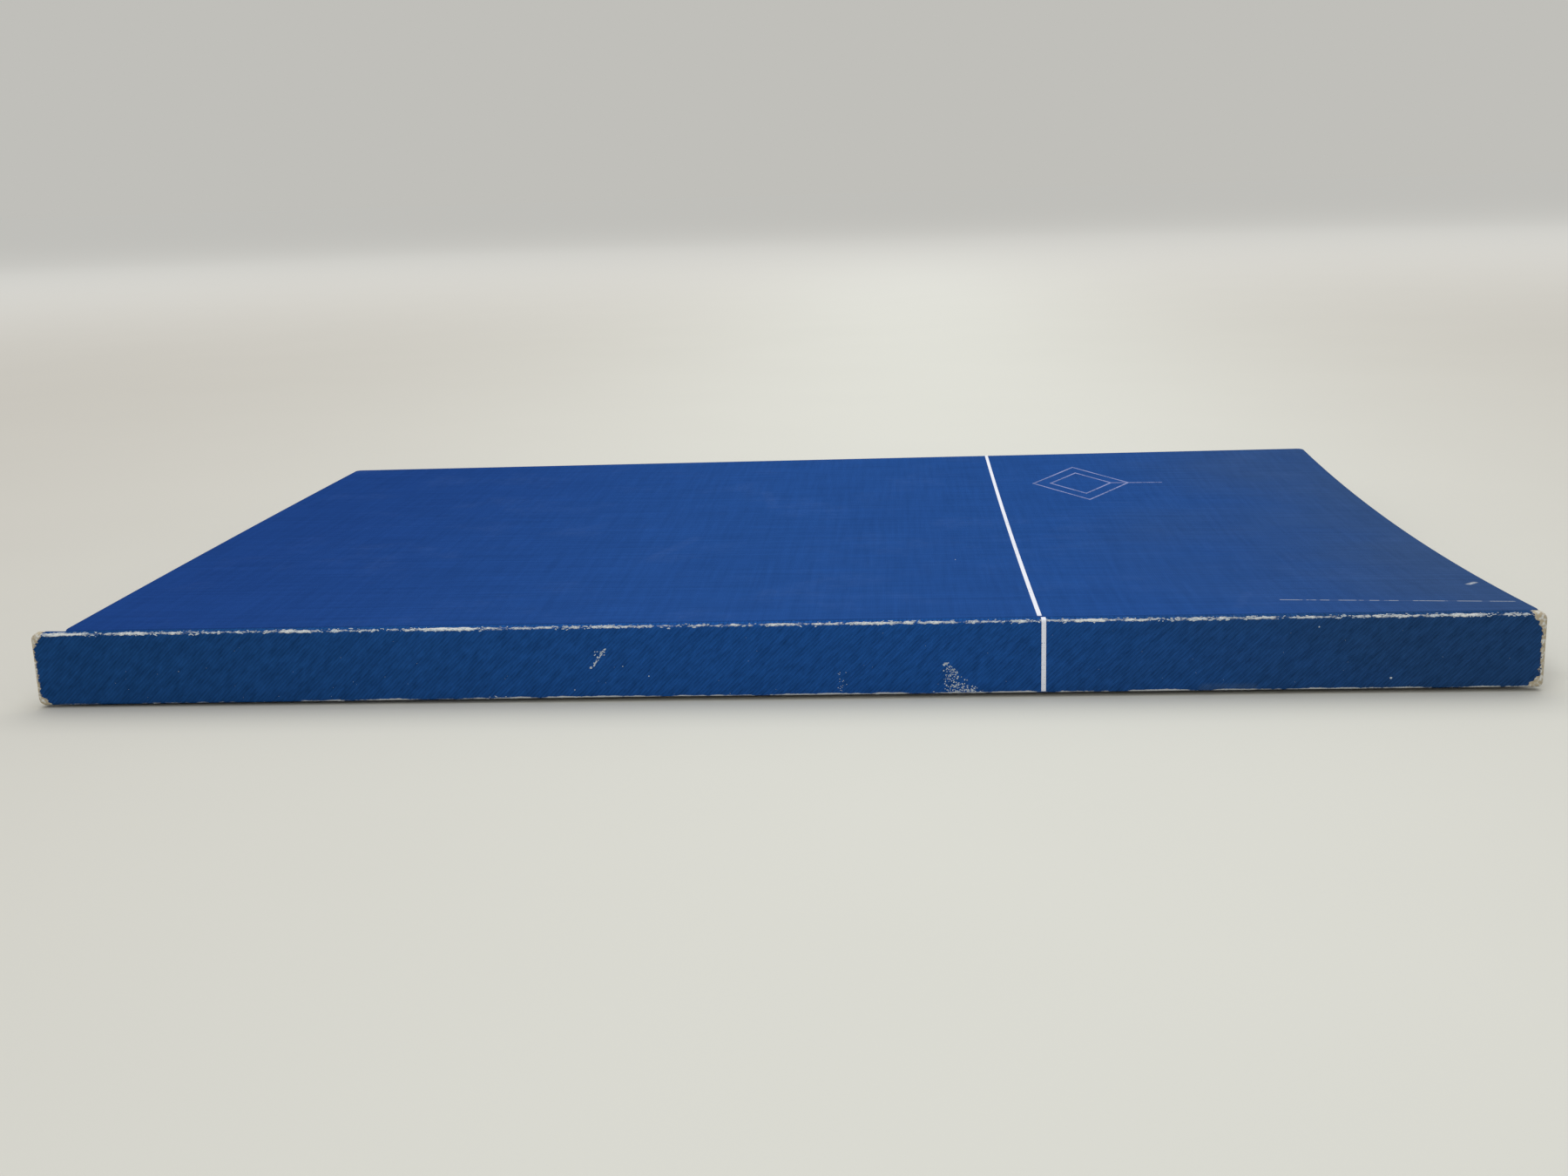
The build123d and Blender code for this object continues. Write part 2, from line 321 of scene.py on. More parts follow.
class Finish:
    """A node material, with short calls for what the finishes share. Lengths are millimetres."""

    made = {}

    def __init__(self, name, roughness=0.8, specular=0.3):
        self.material = bpy.data.materials.new(name)
        self.material.use_nodes = True
        self.tree = self.material.node_tree
        self.shader = self.tree.nodes["Principled BSDF"]
        self.shader.inputs["Roughness"].default_value = roughness
        self.shader.inputs["Specular IOR Level"].default_value = specular
        place = self.node("ShaderNodeTexCoord").outputs["Object"]
        self.mm = self.vector("SCALE", place, Scale=1 / MM)
        self.x, self.y, self.z = self.node("ShaderNodeSeparateXYZ", self.mm).outputs
        Finish.made[name] = self.material

    def feed(self, socket, value):
        """Links a socket to another one, or sets its constant."""
        if isinstance(value, bpy.types.NodeSocket):
            self.tree.links.new(value, socket)
        else:
            socket.default_value = value

    def node(self, kind, *values, operation=None, **named):
        """A new node, fed in the order of its inputs and by their names."""
        new = self.tree.nodes.new(kind)
        if operation:
            new.operation = operation
        for socket, value in zip(new.inputs, values):
            self.feed(socket, value)
        for name, value in named.items():
            self.feed(new.inputs[name], value)
        return new

    def vector(self, operation, *values, **named):
        new = self.node("ShaderNodeVectorMath", *values, operation=operation, **named)
        return new.outputs["Value" if operation in ("LENGTH", "DOT_PRODUCT", "DISTANCE") else "Vector"]

    def math(self, operation, *values, clamp=False):
        new = self.node("ShaderNodeMath", *values, operation=operation)
        new.use_clamp = clamp
        return new.outputs[0]

    def less(self, first, second):
        return self.math("SUBTRACT", first, second)

    def times(self, first, second):
        return self.math("MULTIPLY", first, second)

    def plus(self, start, *terms):
        """A start value plus each term's value times its weight."""
        for value, weight in terms:
            start = self.math("MULTIPLY_ADD", value, weight, start)
        return start

    def strongest(self, *masks):
        best = masks[0]
        for mask in masks[1:]:
            best = self.math("MAXIMUM", best, mask)
        return best

    def noise(self, feature, detail=2.0, stretch=(1, 1, 1), roughness=0.5, place=None):
        """Noise whose features are about that many millimetres across."""
        where = self.vector("MULTIPLY", place or self.mm, stretch)
        new = self.node(
            "ShaderNodeTexNoise", Vector=where, Scale=1 / feature, Detail=detail, Roughness=roughness
        )
        return new.outputs[0]

    def fade(self, value, start, end):
        """Goes smoothly from 0 at start to 1 at end."""
        new = self.node("ShaderNodeMapRange", value, start, end)
        new.interpolation_type = "SMOOTHSTEP"
        return new.outputs["Result"]

    def threads(self, value, pitch):
        """Waves from 0 to 1 along a value, one each pitch."""
        return self.plus(0.5, (self.math("SINE", self.times(value, 2 * math.pi / pitch)), 0.5))

    def mix(self, share, first, second):
        """Mixes two colours."""
        new = self.node("ShaderNodeMix", share)
        new.data_type = "RGBA"
        self.feed(new.inputs[6], first)
        self.feed(new.inputs[7], second)
        return new.outputs[2]

    def dim(self, colour, amount):
        """Multiplies a colour by an amount."""
        return self.vector("SCALE", colour, Scale=amount)

    def stroke(self, start, end, width, across=("x", "y")):
        """1 on a short straight mark between two places, fading to 0 at its width."""
        first, second = (getattr(self, axis) for axis in across)
        place = self.node("ShaderNodeCombineXYZ", first, second).outputs[0]
        along = (end[0] - start[0], end[1] - start[1], 0.0)
        offset = self.vector("SUBTRACT", place, (start[0], start[1], 0.0))
        reach = along[0] ** 2 + along[1] ** 2
        share = self.math("DIVIDE", self.vector("DOT_PRODUCT", offset, along), reach, clamp=True)
        nearest = self.vector("SCALE", along, Scale=share)
        distance = self.vector("DISTANCE", offset, nearest)
        return self.fade(distance, width, width * 0.35)

    def done(self, colour, height=None, depth=0.0):
        """Sets the colour and a bump, whose height is from 0 to 1, and gives the material."""
        self.feed(self.shader.inputs["Base Color"], colour)
        if height is not None:
            bump = self.node("ShaderNodeBump", Height=height, Distance=depth * MM)
            self.feed(self.shader.inputs["Normal"], bump.outputs["Normal"])
        return self.material


THREAD_PITCH = 0.5
TWILL_PITCH = 0.85
GAUZE_PITCH = 1.0
BAND_TURN = 0.62

# Marks: both ends, on the cover's plan or the spine's face, and the width, in millimetres
SMEARS = (
    ((94.4, -92.4), (99.0, -78.4), 1.5), ((80.6, 32.9), (89.1, 32.7), 1.1),
    ((-33.8, -34.9), (-26.0, -12.0), 2.4), ((-12.6, 52.7), (-9.0, 30.0), 2.2),
)
NICK = ((147.4, -70.4), (149.3, -68.4), 0.9)
RUB_LINE = ((104.4, -85.5), (150.5, -89.8), 0.34)
SPINE_SMUDGE = ((85.0, 1.2), (94.5, 1.1), 1.6)


def weave_height(new, first, second):
    """The over-and-under of a plain weave."""
    return new.times(new.threads(first, THREAD_PITCH), new.threads(second, THREAD_PITCH))


def handling(new, blue):
    """The front cover's haze and smears, a nick near the tail and a broken line rubbed there."""
    haze = new.fade(new.noise(22.0, detail=5.0, roughness=0.68), 0.5, 0.75)
    broken = new.fade(new.noise(1.6, detail=3.0), 0.42, 0.6)
    smears = new.strongest(*(new.stroke(*smear) for smear in SMEARS))
    faint = new.plus(0.0, (smears, 0.07), (haze, 0.1))
    faint = new.times(faint, new.plus(0.5, (broken, 0.5)))
    blue = new.mix(faint, blue, colours().smudge)
    nick = new.times(new.stroke(*NICK), 0.35)
    gaps = new.fade(new.noise(2.2, stretch=(1.0, 0.05, 0.05)), 0.4, 0.5)
    rub_line = new.times(new.stroke(*RUB_LINE), new.plus(0.06, (gaps, 0.42)))
    return new.mix(new.strongest(nick, rub_line), blue, colours().fibre)


def rim_wear(new, side):
    """Fibre that shows on a cover's fore edge and ends, most at the corners."""
    (x_low, x_high), (_, y_high) = cover_plan(side)
    past_end = new.strongest(new.less(x_low, new.x), new.less(new.x, x_high))
    past_side = new.less(new.y, y_high)
    corner = new.fade(new.math("ADD", past_end, past_side), -5.0, -0.5)
    ragged = new.noise(1.3, detail=5.0, roughness=0.7)
    rim = new.plus(new.strongest(past_end, past_side), (corner, 0.22), (ragged, 1.5))
    return new.times(new.fade(rim, 0.98, 1.25), 0.35)


def cover_finish(name, side):
    """Royal blue book cloth, mottled, with the threads' streaks, rubbed dull towards the tail."""
    tone = colours()
    new = Finish(name, roughness=0.95, specular=0.0)
    blue = new.mix(new.fade(new.x, -150.0, 10.0), tone.cover_deep, tone.cover)
    drift = new.plus(new.x, (new.noise(55.0, detail=4.0), 80.0))
    blue = new.mix(new.times(new.fade(drift, 108.0, 215.0), 0.85), blue, tone.cover_rubbed)
    along = new.noise(1.2, detail=3.0, stretch=(0.04, 1.0, 1.0))
    across = new.noise(1.2, detail=3.0, stretch=(1.0, 0.04, 1.0))
    mottle = new.noise(14.0, detail=5.0, roughness=0.6)
    blue = new.dim(blue, new.plus(0.58, (along, 0.36), (across, 0.28), (mottle, 0.2)))
    if side == "front":
        blue = handling(new, blue)
    blue = new.mix(rim_wear(new, side), blue, tone.fibre)
    return new.done(blue, weave_height(new, new.x, new.y), 0.05)


def edge_wear(new, fine, from_front, from_back, from_top, from_foot):
    """Fibre along the spine's long edges: nearly whole at the top front, in patches elsewhere."""
    patches = new.noise(7.0, detail=4.0, stretch=(1.0, 0.1, 0.1), roughness=0.65)
    lower_patches = new.noise(9.0, detail=4.0, stretch=(1.0, 0.1, 0.6), roughness=0.65)
    reach = new.plus(0.0, (fine, 0.6), (patches, 0.6))
    lower_reach = new.plus(-0.24, (fine, 0.5), (lower_patches, 0.95))
    full = new.plus(0.58, (new.fade(patches, 0.4, 0.6), 0.4))
    masks = []
    for first, second, how_far, strength in (
        (from_front, from_top, reach, full),
        (from_back, from_top, lower_reach, 0.4),
        (from_front, from_foot, lower_reach, 0.8),
    ):
        inside = new.less(how_far, new.math("ADD", first, second))
        masks.append(new.times(new.fade(inside, -0.02, 0.1), strength))
    return new.strongest(*masks)


def end_wear(new, from_top, from_foot):
    """Where the spine's head and tail are bare, widest at their corners."""
    low, high = box_mm("spine_cloth")
    past_end = new.strongest(new.less(low.x, new.x), new.less(new.x, high.x))
    coarse = new.noise(0.9, detail=6.0, roughness=0.8, stretch=(0.6, 1.0, 1.0))
    frayed = new.noise(0.55, detail=4.0, roughness=0.7, stretch=(0.6, 1.0, 1.0))
    bare = new.plus(
        past_end, (coarse, 2.4), (frayed, 1.6), (new.fade(new.x, 0.0, 150.0), 0.35),
        (new.fade(from_top, 3.4, 0.3), 1.7), (new.fade(from_foot, 3.0, 0.2), 2.1),
    )
    return new.fade(bare, 1.24, 1.4)


def spine_finish():
    """Blue twill-faced cloth, soiled in clouds, bare at the ends and worn white along its edges, with a
    painted shadow along the underside of its foot.
    """
    tone = colours()
    low, high = box_mm("spine_cloth")
    new = Finish("spine_cloth_worn", roughness=0.95, specular=0.0)
    falling = new.less(new.x, new.z)
    rising = new.math("ADD", new.x, new.z)
    twill = new.threads(falling, TWILL_PITCH)
    crossing = new.threads(rising, TWILL_PITCH / 2)
    slant = new.node("ShaderNodeCombineXYZ", falling, rising, new.y).outputs[0]
    ridges = new.noise(1.0, detail=3.0, stretch=(1.0, 0.3, 1.0), roughness=0.6, place=slant)
    clouds = new.noise(26.0, detail=4.0, stretch=(1.0, 1.0, 2.0))
    blue = new.mix(new.fade(new.x, -150.0, -5.0), tone.spine_head, tone.spine)
    blue = new.mix(new.fade(new.plus(new.x, (clouds, 60.0)), 55.0, 165.0), blue, tone.spine_dark)
    blue = new.dim(blue, new.plus(0.27, (twill, 0.26), (crossing, 0.12), (ridges, 1.08)))
    smudge = new.stroke(*SPINE_SMUDGE, across=("x", "z"))
    smudge = new.times(smudge, new.times(new.noise(1.1, detail=4.0), 0.16))
    blue = new.mix(smudge, blue, tone.grime)

    bowed = new.math("DIVIDE", new.less(new.x, low.x), FOOT_BOW_REACH, clamp=True)
    from_foot = new.less(new.z, new.plus(low.z, (bowed, FOOT_BOW)))
    from_top = new.less(high.z, new.z)
    from_front = new.less(new.y, low.y)
    from_back = new.less(spine_back(), new.y)
    fine = new.noise(0.5, detail=5.0, roughness=0.75, stretch=(0.5, 1.0, 1.0))
    worn = edge_wear(new, fine, from_front, from_back, from_top, from_foot)
    bare = end_wear(new, from_top, from_foot)
    straw = new.mix(new.fade(new.noise(0.6, detail=3.0), 0.45, 0.72), tone.bare, tone.fibre)
    blue = new.mix(bare, new.mix(worn, blue, tone.fibre), straw)
    # Painted shadow: near-black along the underside of the foot, where the gap to the floor is in shade
    blue = new.mix(new.times(new.fade(from_foot, 0.3, 0.05), 0.9), blue, tone.under)
    rough = new.times(new.strongest(worn, bare), fine)
    return new.done(blue, new.plus(rough, (new.times(twill, crossing), 0.5)), 0.09)


def fibre_finish():
    """Bare cotton fibre that stands off a worn edge."""
    new = Finish("bare_fibre", roughness=0.9, specular=0.15)
    pale = new.mix(new.noise(1.4, detail=3.0), colours().fibre, colours().dyed_fibre)
    return new.done(pale, new.noise(0.12), 0.02)


def print_finish(name, colour, cover, kept):
    """A thin printed line, worn through to the cloth between its threads."""
    new = Finish(name, roughness=0.6, specular=0.35)
    weave = weave_height(new, new.math("ADD", new.x, new.y), new.z)
    gaps = new.plus(new.noise(0.8, detail=4.0, roughness=0.7), (weave, 0.25))
    return new.done(new.mix(new.fade(gaps, kept, kept + 0.22), colour, cover), weave, 0.02)


def leaf_finish():
    """Edges of smooth cream leaves, with a shade between them and a little yellowing."""
    tone = colours()
    new = Finish("leaf_edges", roughness=0.7, specular=0.25)
    layers = new.noise(0.13, stretch=(0.01, 0.01, 1.0))
    cream = new.mix(new.times(new.noise(30.0, detail=3.0), 0.35), tone.paper, tone.aged_paper)
    return new.done(new.mix(new.fade(layers, 0.5, 0.68), cream, tone.paper_shade), layers, 0.05)


def paper_finish():
    """Off-white endpaper with a fine tooth and faint clouds."""
    tone = colours()
    new = Finish("endpaper_sheet", roughness=0.82, specular=0.2)
    cream = new.mix(new.times(new.noise(45.0, detail=5.0), 0.5), tone.endpaper, tone.aged_endpaper)
    tooth = new.noise(0.35, detail=3.0)
    return new.done(new.dim(cream, new.plus(0.95, (tooth, 0.08))), tooth, 0.02)


def board_finish():
    """Grey-brown binder's board with dark and light flecks of pulp."""
    new = Finish("binders_board", roughness=0.9, specular=0.15)
    flecks = new.noise(0.8, detail=5.0, roughness=0.75)
    grey = new.mix(new.fade(flecks, 0.4, 0.65), colours().board, colours().pulp)
    return new.done(grey, flecks, 0.05)


def gauze_finish():
    """Open cotton gauze, its threads about a millimetre apart, stiff with glue."""
    new = Finish("glued_gauze", roughness=0.8, specular=0.3)
    crossing = new.threads(new.math("ADD", new.y, new.z), GAUZE_PITCH)
    thread = new.fade(new.strongest(new.threads(new.x, GAUZE_PITCH), crossing), 0.7, 0.92)
    return new.done(new.mix(thread, colours().glue, colours().gauze), thread, 0.12)


def kraft_finish():
    """Brown kraft paper with long fibres."""
    new = Finish("kraft_lining", roughness=0.85, specular=0.2)
    fibres = new.noise(0.7, detail=4.0, stretch=(0.12, 1.0, 1.0))
    return new.done(new.mix(fibres, colours().kraft, colours().kraft_dark), fibres, 0.03)


def band_finish():
    """Woven band in turns of light and blue thread."""
    new = Finish("woven_band", roughness=0.75, specular=0.3)
    turns = new.fade(new.threads(new.z, BAND_TURN * 2), 0.42, 0.58)
    thread = new.mix(turns, colours().band_light, colours().band_blue)
    return new.done(thread, new.threads(new.z, BAND_TURN / 3), 0.04)


# Painted light on the floor: middle and reach of its painted pool of light, the painted shade beside it,
# and where it turns pale
BRIGHT_MIDDLE = 45.0
BRIGHT_REACH = 220.0
SIDE_SHADE = (0.76, 0.725, 0.715, 1.0)
FAR_LIMITS = (500.0, 2600.0)


def stage_finish():
    """Pale paper, with a painted pool of light behind the book, painted shade a little dimmer to both
    sides, and painted light far away that makes it as bright as the background.
    """
    tone = colours()
    new = Finish("studio_paper", roughness=0.95, specular=0.0)
    # Painted shade that grows to both sides of the painted pool of light
    painted_side_shade = new.math("POWER", new.math("ABSOLUTE", new.less(new.x, BRIGHT_MIDDLE)), 2.0)
    painted_side_shade = new.math("DIVIDE", painted_side_shade, new.math("ADD", painted_side_shade, BRIGHT_REACH ** 2))
    paper = new.vector("MULTIPLY", tone.floor[:3], new.mix(painted_side_shade, WHITE, SIDE_SHADE))
    # Painted light: paler far off, where only the world light reaches, so that the floor renders as
    # bright as the background
    far = new.fade(new.vector("LENGTH", new.mm), *FAR_LIMITS)
    grain = new.plus(0.985, (new.noise(90.0, detail=3.0), 0.03))
    return new.done(new.mix(far, new.dim(paper, grain), tone.far_floor))


# Covers

# Distance of a cover's last cuts from its rim
RIM_GUARD = 1.4

# How deep a pastedown is let into the cloth, and the depth and width of its dip at the turn-ins
PASTE_SINK = 0.25
DIP_DEPTH = 0.12
DIP_WIDTH = 0.9


def covered_board(side):
    """A cloth-covered board with rounded edges, its cloth turned in round a shallow window."""
    x_limits, y_limits = cover_plan(side)
    radius = length("corner_radius")
    inner = facing(side) * case_depth()
    bm = bmesh.new()
    block(bm, x_limits, y_limits, sorted((0.0, inner)))
    upright = [e for e in bm.edges if abs(e.verts[0].co.z - e.verts[1].co.z) > case_depth() / 2]
    rounded(bm, upright, radius, 5)
    rim = [e for e in bm.edges if all(abs(v.co.z) < TOUCH for v in e.verts)]
    rounded(bm, rim, length("edge_radius"), 4)
    flat = [f for f in bm.faces if abs(f.calc_center_median().z - inner) < TOUCH]
    inside = max(flat, key=lambda f: f.calc_area())
    bmesh.ops.inset_region(bm, faces=[inside], thickness=length("turn_in"))
    for vert in inside.verts:
        if vert.co.y < sum(y_limits) / 2:
            vert.co.y = y_limits[0] + radius
    window = bmesh.ops.extrude_discrete_faces(bm, faces=[inside])["faces"]
    sink = -2 * facing(side) * length("cloth")
    bmesh.ops.translate(bm, verts=window[0].verts, vec=(0, 0, sink))
    split_large_faces(bm)
    cut(bm, 0, spread(*x_limits, 36, guard=RIM_GUARD))
    cut(bm, 1, spread(*y_limits, 26, guard=RIM_GUARD))
    lay(bm, side)
    return bm


def pasted_sheet(side):
    """The pasted half of an endpaper, let down a little over the window between the turn-ins."""
    low, high = box_mm(side + "_pastedown")
    (x_low, x_high), (y_low, y_high) = cover_plan(side)
    turn = length("turn_in")
    near = facing(side) * (case_depth() - PASTE_SINK)
    far = facing(side) * (case_depth() + length("endpaper"))
    bm = ruled_block((low.x, high.x), (y_low, high.y), sorted((near, far)), columns=30, rows=22)
    for inset in (turn, turn + DIP_WIDTH):
        cut(bm, 0, (x_low + inset, x_high - inset))
        cut(bm, 1, (y_high - inset,))
    for vert in bm.verts:
        if abs(vert.co.z - far) < TOUCH:
            inward = min(vert.co.x - x_low, x_high - vert.co.x, y_high - vert.co.y) - turn
            vert.co.z -= facing(side) * DIP_DEPTH * min(1.0, max(0.0, inward / DIP_WIDTH))
    lay(bm, side)
    return bm


class BOOK_OT_covers(bpy.types.Operator):
    """Cloth of both covers, and the endpapers pasted inside them"""

    bl_idname = "book.covers"
    bl_label = "Covers"

    def execute(self, context):
        paper = paper_finish()
        for side in ("front", "back"):
            cloth = cover_finish(side + "_cover_cloth", side)
            finished(
                side + "_cloth_cover", covered_board(side), cloth,
                side + "_cover", [side + "_cloth"],
            )
            finished(
                side + "_pasted_endpaper", pasted_sheet(side), paper,
                side + "_cover", [side + "_pastedown"],
            )
        return {"FINISHED"}


# Spine

# Raggedness of the spine's long edges: waves per millimetre along and across, and depth
RAGGED = ((0.9, 2.0, 0.10), (3.1, 3.0, 0.07))


def worn_spine():
    """The covered spine strip, its corners rounded by wear and its long edges a little ragged."""
    low, high = box_mm("spine_cloth")
    back = spine_back()
    radius = length("spine_radius")
    bm = bmesh.new()
    block(bm, (low.x, high.x), (low.y, back), (low.z, high.z))
    across = [e for e in bm.edges if abs(e.verts[0].co.y - e.verts[1].co.y) > (back - low.y) / 2]
    rounded(bm, across, length("spine_corner"), 6)
    faces = [f for f in bm.faces if abs(abs(f.normal.y) - 1) < TOUCH]
    rounded(bm, list({e for f in faces for e in f.edges}), radius, 5)
    split_large_faces(bm)
    cut(bm, 0, spread(low.x, high.x, 220))
    cut(bm, 2, spread(low.z, high.z, 8))
    for vert in bm.verts:
        x, y, z = vert.co
        near_edge = max(0.0, 1 - min(high.z - z, z - low.z) / radius)
        inward = near_edge * sum(
            depth * abs(noise.noise(Vector((x * along, y * rate, z * rate))))
            for along, rate, depth in RAGGED
        )
        bowed = near_edge * foot_bow(x, low)
        vert.co.z += -inward if z > (low.z + high.z) / 2 else inward + bowed
        if y < (low.y + back) / 2:
            vert.co.y += inward
    return bm


# Flecks along the spine's front edges: start, end and flecks per millimetre
WEAR_SPOTS = (
    (-150.0, -118.0, 2.6), (-118.0, -60.0, 1.2), (-44.0, -28.0, 2.4), (14.0, 36.0, 1.6),
    (44.0, 54.0, 2.0), (74.0, 96.0, 1.9), (102.0, 120.0, 1.5), (120.0, 147.0, 2.2),
)
FOOT_SPOTS = ((-66.0, -52.0, 1.8), (30.0, 42.0, 2.4), (82.0, 94.0, 1.2))
TOP_DENSITY = 1.3
FOOT_DENSITY = 0.12
END_MARGIN = 4

FLECK_RAGGED = 0.3
FLECK_THICKNESS = 0.06
FLECK_LIFT = 0.01

# Marks on the spine's face, along it and up it: a slanting scratch that is wider at its end, a
# scuff that flares to the foot, an upright row, single flecks and a fine scatter
SCRATCH = ((-36.9, 7.1), (-34.0, 11.0))
SCRATCH_FLECKS = 22
SCRATCH_END = ((-36.1, -33.9), (9.6, 10.6))
SCUFF_LIMITS = (34.0, 34.6)
SCUFF_FLARE = 6.4
SCUFF_FOOT = 1.3
SCUFF_HEIGHT = 6.0
UPRIGHT_ROW = (13.4, (1.4, 5.6))
SINGLE_FLECKS = (
    (-40.5, 2.6, 0.14), (-30.5, 7.4, 0.12), (-25.3, 5.3, 0.16), (121.1, 3.1, 0.26),
    (106.9, 13.6, 0.2), (-122.1, 7.5, 0.1),
)
SCATTER = ((-140, 145), (1.5, 14.0))


def fleck(bm, place, turn, radius, stretch, lean, draw):
    """One raised fleck of bare fibre, lying on the face that turn gives."""
    flat = Matrix.Diagonal((radius * stretch, radius, 1.0, 1.0))
    spin = Matrix.Rotation(lean, 4, "Z")
    made = bmesh.ops.create_cone(
        bm, cap_ends=True, cap_tris=False, segments=5, radius1=1.0, radius2=0.5,
        depth=FLECK_THICKNESS, matrix=Matrix.Translation(place) @ turn @ spin @ flat,
    )
    for vert in made["verts"]:
        ragged = [draw.uniform(-radius, radius) * FLECK_RAGGED for _ in range(2)]
        vert.co += (turn @ spin).to_3x3() @ Vector((*ragged, 0.0))


def edge_place(x, angle, low, high, radius, top):
    """A place on the spine's rounded long edge, with the turn of the face there."""
    centre_z = high.z - radius if top else low.z + radius + foot_bow(x, low)
    sign = 1 if top else -1
    y = low.y + radius - math.cos(angle) * (radius + FLECK_LIFT)
    z = centre_z + sign * math.sin(angle) * (radius + FLECK_LIFT)
    tilt = math.pi / 2 - sign * angle
    return Vector((x, y, z)), Matrix.Rotation(tilt, 4, "X")


class BOOK_OT_spine(bpy.types.Operator):
    """Cloth of the spine, with the fibre that wear has laid bare on it"""

    bl_idname = "book.spine"
    bl_label = "Spine"

    def execute(self, context):
        finished(
            "spine_cloth_cover", worn_spine(), spine_finish(), "book_block",
            ["spine_cloth"],
        )
        finished("spine_fibre", self.fibre(), fibre_finish(), "book_block")
        return {"FINISHED"}

    def fibre(self):
        """Flecks along the two front edges and in the scuffs on the face."""
        draw = random.Random(sizes().seed)
        low, high = box_mm("spine_cloth")
        radius = length("spine_radius")
        bm = bmesh.new()
        whole = (low.x + END_MARGIN, high.x - END_MARGIN)
        runs = [(spot, True) for spot in WEAR_SPOTS] + [(spot, False) for spot in FOOT_SPOTS]
        runs += [((*whole, TOP_DENSITY), True), ((*whole, FOOT_DENSITY), False)]
        for (start, end, density), top in runs:
            for _ in range(int((end - start) * density)):
                angle = draw.triangular(0.0, math.pi / 2, 0.75)
                place, turn = edge_place(draw.uniform(start, end), angle, low, high, radius, top)
                size = draw.uniform(0.05, 0.15)
                fleck(bm, place, turn, size, draw.uniform(1.0, 4.5), draw.gauss(0, 0.25), draw)
        face = Matrix.Rotation(math.pi / 2, 4, "X")
        for x, z, size, stretch, lean in self.scuffs(draw):
            fleck(bm, Vector((x, low.y - FLECK_LIFT, z)), face, size, stretch, lean, draw)
        return bm

    def scuffs(self, draw):
        """Places, sizes, stretches and turns of the flecks that make the marks on the face."""
        marks = []
        (x_foot, z_foot), (x_top, z_top) = SCRATCH
        for share in [index / SCRATCH_FLECKS for index in range(SCRATCH_FLECKS + 1)]:
            x = x_foot + (x_top - x_foot) * share + draw.gauss(0, 0.12)
            z = z_foot + (z_top - z_foot) * share + draw.gauss(0, 0.12)
            marks.append((x, z, draw.uniform(0.09, 0.2), 1.8, 0.9))
        x_limits, z_limits = SCRATCH_END
        for _ in range(14):
            marks.append((draw.uniform(*x_limits), draw.uniform(*z_limits), 0.13, 1.6, 0.2))
        left, right = SCUFF_LIMITS
        for _ in range(190):
            height = draw.random() ** 1.6
            x = draw.uniform(left, right + SCUFF_FLARE * (1 - height)) + draw.gauss(0, 0.2)
            z = SCUFF_FOOT + SCUFF_HEIGHT * height
            marks.append((x, z, draw.uniform(0.06, 0.17), 1.5, draw.uniform(0, 3)))
        x, z_limits = UPRIGHT_ROW
        for _ in range(16):
            place = (x + draw.gauss(0, 0.5), draw.uniform(*z_limits))
            marks.append((*place, 0.09, 1.4, draw.uniform(0, 3)))
        for mark in SINGLE_FLECKS:
            marks.append((*mark, 1.2, draw.uniform(0, 3)))
        x_limits, z_limits = SCATTER
        for _ in range(60):
            place = (draw.uniform(*x_limits), draw.uniform(*z_limits))
            marks.append((*place, 0.05, 1.3, draw.uniform(0, 3)))
        return marks


# Joints

# The bodies on the two sides of each joint
JOINED = {"front": ("book_block", "front_cover"), "back": ("back_cover", "book_block")}

# Joint cloth: how far it ends short of the covers' ends, laps its neighbours and curves up
JOINT_INSET = 2.0
JOINT_LAP = 0.2
JOINT_CURL = 0.5

# Endpaper fold: how far it ends short of the leaves at the head and the tail, and its lap
FOLD_INSETS = (1.0, 3.2)
FOLD_LAP = 0.1


def joint_sheet(side, x_limits, y_limits, levels, curl=0.0):
    """A sheet between two levels inside a cover, curved at both of its long edges."""
    z_limits = sorted(cover_level(side) + facing(side) * level for level in levels)
    bm = ruled_block(x_limits, y_limits, z_limits, columns=24, rows=28)
    middle = sum(y_limits) / 2
    half = (y_limits[1] - y_limits[0]) / 2
    for vert in bm.verts:
        vert.co.z -= facing(side) * curl * abs((vert.co.y - middle) / half) ** 4
    return bm


class BOOK_OT_joints(bpy.types.Operator):
    """Cloth and endpaper across the two joints"""

    bl_idname = "book.joints"
    bl_label = "Joints"

    def execute(self, context):
        level = case_depth()
        leaves = box_mm("page_block")[0]
        ends = [cover_plan(side)[0] for side in JOINED]
        low, high = max(end[0] for end in ends), min(end[1] for end in ends)
        cloth_x = (low + JOINT_INSET, high - JOINT_INSET)
        paper_x = (leaves.x + FOLD_INSETS[0], -leaves.x - FOLD_INSETS[1])
        for side, bodies in JOINED.items():
            edge = cover_plan(side)[1][0]
            places = {"book_block": spine_back(), side + "_cover": edge}
            start, end = (Vector((0, places[body], cover_level(side))) * MM for body in bodies)
            cloth = joint_sheet(
                side, cloth_x, (spine_back() - JOINT_LAP, edge + JOINT_LAP),
                (level - length("cloth"), level), JOINT_CURL,
            )
            fold = joint_sheet(
                side, paper_x, (leaves.y, edge + FOLD_LAP), (level, level + 2 * length("endpaper"))
            )
            for name, sheet, finish, slot in (
                ("_joint_cloth", cloth, side + "_cover_cloth", "cover_cloth"),
                ("_endpaper_fold", fold, "endpaper_sheet", "endpaper"),
            ):
                piece = finished(side + name, sheet, Finish.made[finish], None)
                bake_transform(piece)
        return {"FINISHED"}


# Block

